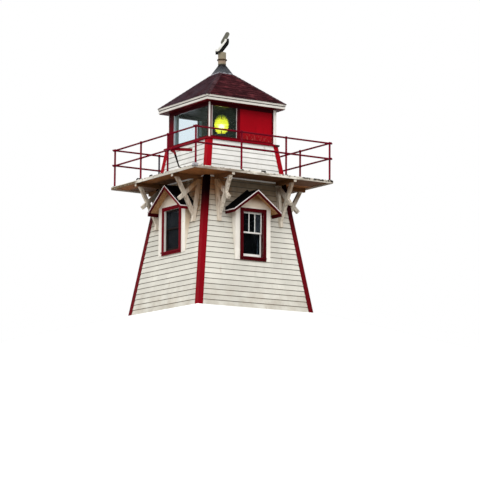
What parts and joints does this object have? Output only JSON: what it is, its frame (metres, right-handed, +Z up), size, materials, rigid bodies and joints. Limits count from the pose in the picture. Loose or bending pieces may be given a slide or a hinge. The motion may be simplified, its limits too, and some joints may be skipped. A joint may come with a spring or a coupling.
{
  "type": "lighthouse",
  "caption": "Small square wooden harbour lighthouse with leaning clapboard walls, railed gallery on timber brackets, gabled dormers, glazed lantern and turning ventilator cowl.",
  "frame": {"origin": "on the ground at the centre of the tower's base", "axes": "+Z up, -Y out of the front face with the panelled lantern side, -X out of the left face"},
  "size_m": [4.61, 4.61, 8.1998],
  "materials": {
    "clapboard": "weathered white paint",
    "white_trim": "weathered white paint",
    "red_trim": "weathered red paint",
    "dark_red": "dark red paint in shade",
    "red_panel": "red paint, worn at the bottom",
    "floor_boards": "bare weathered boards",
    "deck_boards": "bare weathered boards, stained brown",
    "brackets": "worn white paint with brown stains",
    "rail_paint": "dark red gloss paint",
    "shingles": "dark maroon shingles",
    "dormer_shingles": "black shingles with a pale edge",
    "pane": "clear",
    "flashing": "dull grey",
    "pipe": "weathered, with rust at the collar",
    "cowl_black": "matt black",
    "cowl_pale": "pale grey",
    "cowl_grey": "weathered grey",
    "lamp_stand": "dark green-grey",
    "lens": "lit yellow lens"
  },
  "bodies": {
    "tower": {"front_wall": "clapboard", "back_wall": "clapboard", "left_wall": "clapboard", "right_wall": "clapboard", "corner_boards": "red_trim", "frieze_boards": "white_trim", "ground_floor": "floor_boards", "lantern_floor": "floor_boards", "gallery_deck": "deck_boards", "deck_fascia": "white_trim", "bracket_beams": "brackets", "bracket_posts": "brackets", "bracket_braces": "brackets", "bracket_struts": "brackets", "rail_posts": "rail_paint", "front_rails": "rail_paint", "back_rails": "rail_paint", "left_rails": "rail_paint", "right_rails": "rail_paint", "rail_arm": "rail_paint", "dormer_bodies": "white_trim", "dormer_roofs": "dormer_shingles", "dormer_rakes": "dark_red", "window_casings": "dark_red", "upper_sashes": "white_trim", "lower_sashes": "white_trim", "window_glass": "pane", "entrance_frame": "dark_red", "entrance_door": "red_panel", "lantern_sill": "red_trim", "lantern_frame": "dark_red", "lantern_trims": "white_trim", "lantern_panels": "red_panel", "lantern_glass": "pane", "lantern_ceiling": "dark_red", "lens_pedestal": "lamp_stand", "lens": "lens", "roof": "shingles", "eave_boards": "white_trim", "eave_soffit": "dark_red", "roof_cap": "flashing", "flue_pipe": "pipe", "pipe_collar": "pipe"},
    "cowl": {"cowl_hood": "cowl_black", "cowl_rims": "cowl_pale", "cowl_fin": "cowl_grey"}
  },
  "joints": [
    {"name": "cowl_turn", "type": "hinge", "parent": "tower", "child": "cowl", "pos_m": [0, 0, 7.584], "axis": [0, 0, 1], "continuous": true}
  ]
}
